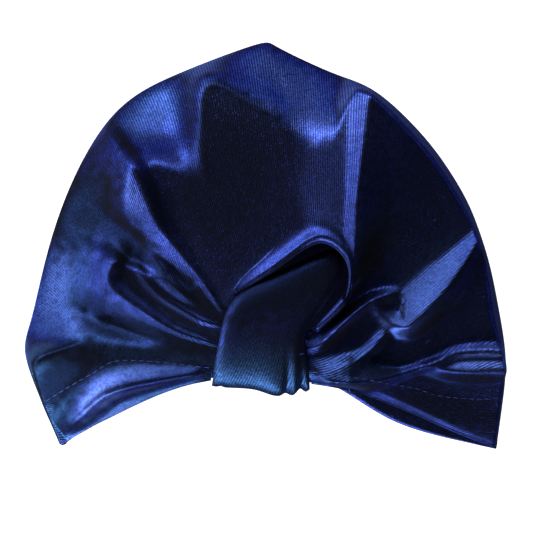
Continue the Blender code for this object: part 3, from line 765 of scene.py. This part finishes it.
# Spots of painted light and shade on the velvet: a painted teal tint of light from the lower left,
# painted highlights, painted shade, and where the painted light and shade across the wales shows
# most: x, y, reach along and across, turn in degrees, and how much
paintedLightSpots = {
    "paintedTealLight": [
        (-88, -60, 12, 20, 0, 1.0),
        (-58, -46, 34, 5, 0, 0.8),
        (-56, -70, 30, 6, 24, 1.0),
        (-82, 14, 10, 12, 0, 0.9),
        (-88, -12, 14, 26, 0, 0.55),
        (-70, -36, 20, 5, 0, 0.6),
        (-45, 62, 20, 12, 30, 0.4),
        (62, -16, 22, 8, 48, 0.4),
        (36, -49, 16, 7, 10, 0.5),
    ],
    "paintedHighlight": [
        (-66, -59.5, 10, 4.2, 42, 1.0),
        (-52, -51, 13, 2.6, 14, 0.45),
        (-88, -16, 7, 16, -8, 0.35),
        (2, 62, 36, 13, -20, 0.34),
        (88, -47, 10, 4.5, 0, 0.75),
        (-86, -33, 12, 5, 8, 0.35),
        (-98, -24, 4, 14, -8, 0.8),
        (-95, -64, 20, 2.4, -70, 0.8),
        (-64, -71.5, 16, 2.8, 29, 0.5),
        (62, -18, 20, 6, 50, 0.25),
        (-57, 24, 12, 4, -58, 0.4),
        (30, -47, 9, 4, 0, 0.2),
    ],
    "paintedShade": [
        (-75, 14, 18, 12, 60, 1.0),
        (43, 11, 6, 20, -5, 0.7),
        (79.5, -13.4, 14, 3.5, 50, 0.8),
        (-58, 3, 15, 8, -38, 0.9),
        (-62, -30, 17, 7, -24, 0.75),
        (-57, 42, 9, 2.5, -52, 0.9),
        (-80, -54, 14, 7, 34, 0.95),
        (-31, -18, 19, 4, -42, 0.85),
        (-41, -22, 20, 3.5, -36, 0.85),
        (-38, -37, 22, 4.5, -14, 0.8),
        (35, -57.5, 15, 2.2, 6, 0.5),
        (-7, 57.2, 13, 1.9, -31, 0.8),
        (-19.5, 63.2, 5, 1.9, 5, 0.85),
        (-25.4, 48.4, 13, 1.8, 85, 0.8),
        (-81.6, -42.1, 11.5, 1.4, 24, 1.0),
        (-17, 27, 22, 16, 70, 0.5),
        (80, -54.2, 15, 2.6, -3, 0.8),
        (74, -66.5, 19, 5.5, -12, 0.65),
    ],
    "ribs": [(0, 62, 40, 20, -8, 1.0), (-45, 50, 18, 14, 40, 0.6), (20, 20, 8, 26, 0, 0.4)],
}
# Painted teal light, highlight and shade on the knot, and where its painted wale shade shows most
knotPaintedLight = {
    "paintedTealLight": [(-2, -58, 28, 15, 0, 1.0)],
    "paintedHighlight": [(-1, -32, 5, 9, -15, 0.12)],
    "paintedShade": [(12, -10, 34, 13, 22, 0.85), (14, -34, 5, 12, 0, 0.5), (-2, -58, 30, 12, 0, 0.2)],
    "ribs": [(-2, -52, 30, 16, 0, 0.4)],
}


# Writes the spots of painted light and shade into the cloth as values at its points, with ragged
# edges, and how steep the cloth stands; steep cloth also takes painted shade
def paintLightAndShade(obj, paintedSpots):
    points = np.empty(len(obj.data.vertices) * 3)
    obj.data.vertex_normals.foreach_get("vector", points)
    upright = np.abs(points.reshape(-1, 3)[:, 2])
    steep = smooth((velvetLook["steepFrom"] - upright) / velvetLook["steepTurn"])
    layer = obj.data.attributes.new("steep", "FLOAT", "POINT")
    layer.data.foreach_set("value", velvetLook["matt"] * steep)
    obj.data.vertices.foreach_get("co", points)
    x, y = points.reshape(-1, 3)[:, :2].T / mm
    ragged = np.sin(0.9 * x + 1.3 * np.sin(0.7 * y)) + np.sin(1.1 * y + np.sin(0.6 * x))
    ragged = 1 + velvetLook["ragged"] * ragged
    for name, spots in paintedSpots.items():
        # steep cloth starts with painted shade
        amount = velvetLook["steepPaintedShade"] * steep if name == "paintedShade" else np.zeros(len(x))
        for spotX, spotY, along, across, turn, much in spots:
            turned = np.exp(1j * math.radians(turn))
            place = (x - spotX + 1j * (y - spotY)) / turned
            far = np.sqrt((place.real / along) ** 2 + (place.imag / across) ** 2) * ragged
            amount = np.maximum(amount, much * smooth(velvetLook["spotEdge"] - far))
        layer = obj.data.attributes.new(name, "FLOAT", "POINT")
        layer.data.foreach_set("value", amount)


# Gives a cloth its painted light and shade and its materials, and lets it stand for its node
def dress(obj, node, materials, paintedSpots):
    paintLightAndShade(obj, paintedSpots)
    for material in materials:
        obj.data.materials.append(material)
    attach(obj, "root")
    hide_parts(node)


panelVelvet = velvet("panelVelvet", velvetLook["rough"], velvetLook["waleDepth"])
knotVelvet = velvet("knotVelvet", velvetLook["knotRough"], velvetLook["knotWale"])
knitBacking = backing("knitBacking")

front = frontPanel()
dress(front, "front_panel", [panelVelvet, knitBacking], paintedLightSpots)
print("front panel", len(front.data.polygons))
back = backPanel()
dress(back, "back_panel", [panelVelvet, knitBacking], paintedLightSpots)
print("back panel", len(back.data.polygons))
knot = knotBand()
dress(knot, "knot_band", [knotVelvet, knitBacking], knotPaintedLight)
print("knot band", len(knot.data.polygons))

# The stitches, in millimetres
stitchLook = {
    "long": 2.3,
    "thick": 0.3,
    "apart": 3.2,
    "follows": 0.8,  # reach each way over which a stitch takes the cloth's slope
    "lift": 0.12,
    "dropFrom": 100.0,  # height from which a stitch falls on to the cloth
    "points": 200,
    "thread": (0.05, 0.065, 0.3),
    "rough": 0.45,
    "specular": 0.1,
    "twist": 700,
    "uneven": 2,
    "shade": 0.6,
}

# Each line of stitches: the cloth it is sewn to, and x and y along it
stitchLines = {
    "leftStitches": ("front_panel", [
        (-21.5, -49.0), (-30, -48.2), (-45, -46.6), (-59, -46.4), (-65.7, -49.5), (-76.4, -55.7),
        (-84.3, -60.5), (-88.5, -63.2),
    ]),
    "rightStitches": ("front_panel", [
        (18, -50.4), (30, -52), (41.4, -53.7), (51.2, -56.0), (60.5, -57.8), (66.5, -60),
        (72.5, -61.3), (78.5, -62), (86.7, -62.5), (95, -62),
    ]),
    "knotStitch": ("knot_band", [(12.9, -43.6), (15.9, -42.9)]),
}


def threadPaint():
    look = stitchLook
    material, nodes, links, shader = newMaterial("thread", look["rough"], look["specular"])
    place = nodes.new("ShaderNodeTexCoord")
    twist = nodes.new("ShaderNodeTexWave")
    twist.inputs["Scale"].default_value = look["twist"]
    twist.inputs["Distortion"].default_value = look["uneven"]
    links.new(place.outputs["Object"], twist.inputs["Vector"])
    dark = [look["shade"] * value for value in look["thread"]]
    shade = blendNode(nodes, dark, look["thread"])
    links.new(twist.outputs["Fac"], shade.inputs["Factor"])
    links.new(shade.outputs["Result"], shader.inputs["Base Color"])
    return material


def stitchMesh():
    bpy.ops.object.select_all(action="DESELECT")
    bpy.ops.mesh.primitive_uv_sphere_add(segments=10, ring_count=7, radius=0.5)
    stitch = bpy.context.object
    thick = stitchLook["thick"] * mm
    stitch.scale = (stitchLook["long"] * mm, thick, thick)
    bpy.ops.object.transform_apply(location=False, rotation=False, scale=True)
    stitch.data.shade_smooth()
    return stitch


# One line of stitches laid along the cloth, joined into one piece
def sewLine(name, cloth, line, stitch, paint):
    surface = BVHTree.FromObject(cloth, bpy.context.evaluated_depsgraph_get())
    last = len(line) - 1
    at = np.linspace(0, last, stitchLook["points"])
    line = naturalSpline(np.arange(last + 1), np.array(line, float), at)
    along = lengthAlong(line)
    count = max(1, int(along[-1] / stitchLook["apart"]))
    made = []
    for k in range(count):
        middle = (k + 0.5) / count * along[-1]
        ends = []
        for far in (middle - stitchLook["follows"], middle, middle + stitchLook["follows"]):
            x, y = (np.interp(far, along, line[:, j]) * mm for j in (0, 1))
            above = Vector((x, y, stitchLook["dropFrom"] * mm))
            ends.append(surface.ray_cast(above, Vector((0, 0, -1)))[0])
        ahead = (ends[2] - ends[0]).normalized()
        copy = stitch.copy()
        copy.data = stitch.data.copy()
        bpy.context.scene.collection.objects.link(copy)
        copy.location = (ends[0] + ends[1] + ends[2]) / 3 + Vector((0, 0, stitchLook["lift"] * mm))
        copy.rotation_euler = ahead.to_track_quat("X", "Z").to_euler()
        made.append(copy)
    bpy.ops.object.select_all(action="DESELECT")
    for copy in made:
        copy.select_set(True)
    bpy.context.view_layer.objects.active = made[0]
    if len(made) > 1:
        bpy.ops.object.join()
    bpy.ops.object.transform_apply(location=True, rotation=True, scale=True)
    sewn = bpy.context.object
    sewn.name = name
    sewn.data.materials.append(paint)
    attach(sewn, "root")
    return sewn


clothOf = {"front_panel": front, "knot_band": knot}
stitch = stitchMesh()
threadMaterial = threadPaint()
for name, (node, line) in stitchLines.items():
    sewn = sewLine(name, clothOf[node], line, stitch, threadMaterial)
    print(name, len(sewn.data.polygons))
bpy.data.objects.remove(stitch)

# The studio: the view's width and aim, and the height above the floor where it has that width,
# all in millimetres, with the lens, the fill light and the floor
studio = {
    "width": 220.99,
    "aim": (1.64, -10.045),
    "above": 12,
    "lens": 100,
    "sensor": 36,
    "fill": 0.06,
    "floorSize": 6,  # in metres
    "floor": 0.3,
    "floorRough": 0.9,
    "floorGlow": 1.15,
}

# The soft lights: direction, distance, size in metres and power
lights = {
    "keyLeft": ((-1, 0.03, 0.28), 1.0, (0.7, 0.45), 8),
    "sideLight": ((-0.9, -0.5, 0.25), 1.0, (0.5, 0.4), 3.5),
    "keyUp": ((-0.76, 0.66, 0.28), 1.0, (0.6, 0.45), 8),
    "topLight": ((-0.26, 1, 0.5), 1.1, (1.2, 0.45), 12),
    "frontLight": ((-0.4, -1, 0.45), 1.1, (0.9, 0.4), 20),
}
for name, (towards, far, size, power) in lights.items():
    data = bpy.data.lights.new(name, "AREA")
    data.shape = "RECTANGLE"
    data.size, data.size_y = size
    data.energy = power
    lamp = bpy.data.objects.new(name, data)
    bpy.context.scene.collection.objects.link(lamp)
    direction = Vector(towards).normalized()
    lamp.location = direction * far
    lamp.rotation_euler = direction.to_track_quat("Z", "Y").to_euler()

world = bpy.data.worlds.new("studio")
world.use_nodes = True
sky = world.node_tree.nodes["Background"]
sky.inputs[0].default_value = (1, 1, 1, 1)
sky.inputs[1].default_value = studio["fill"]
bpy.context.scene.world = world

bpy.ops.object.select_all(action="DESELECT")
bpy.ops.mesh.primitive_plane_add(size=studio["floorSize"], location=(0, 0, 0))
floor = bpy.context.object
floor.name = "floor"
floorPaint = bpy.data.materials.new("floorPaint")
floorPaint.use_nodes = True
floorShader = floorPaint.node_tree.nodes["Principled BSDF"]
floorShader.inputs["Base Color"].default_value = (*[studio["floor"]] * 3, 1)
floorShader.inputs["Roughness"].default_value = studio["floorRough"]
floorShader.inputs["Emission Color"].default_value = (1, 1, 1, 1)
floorShader.inputs["Emission Strength"].default_value = studio["floorGlow"]
floor.data.materials.append(floorPaint)

cameraData = bpy.data.cameras.new("camera")
cameraData.lens = studio["lens"]
cameraData.sensor_width = studio["sensor"]
camera = bpy.data.objects.new("camera", cameraData)
bpy.context.scene.collection.objects.link(camera)
height = studio["width"] * studio["lens"] / studio["sensor"] + studio["above"]
camera.location = (studio["aim"][0] * mm, studio["aim"][1] * mm, height * mm)
bpy.context.scene.camera = camera
bpy.context.scene.view_settings.view_transform = "Standard"
print("studio ready")
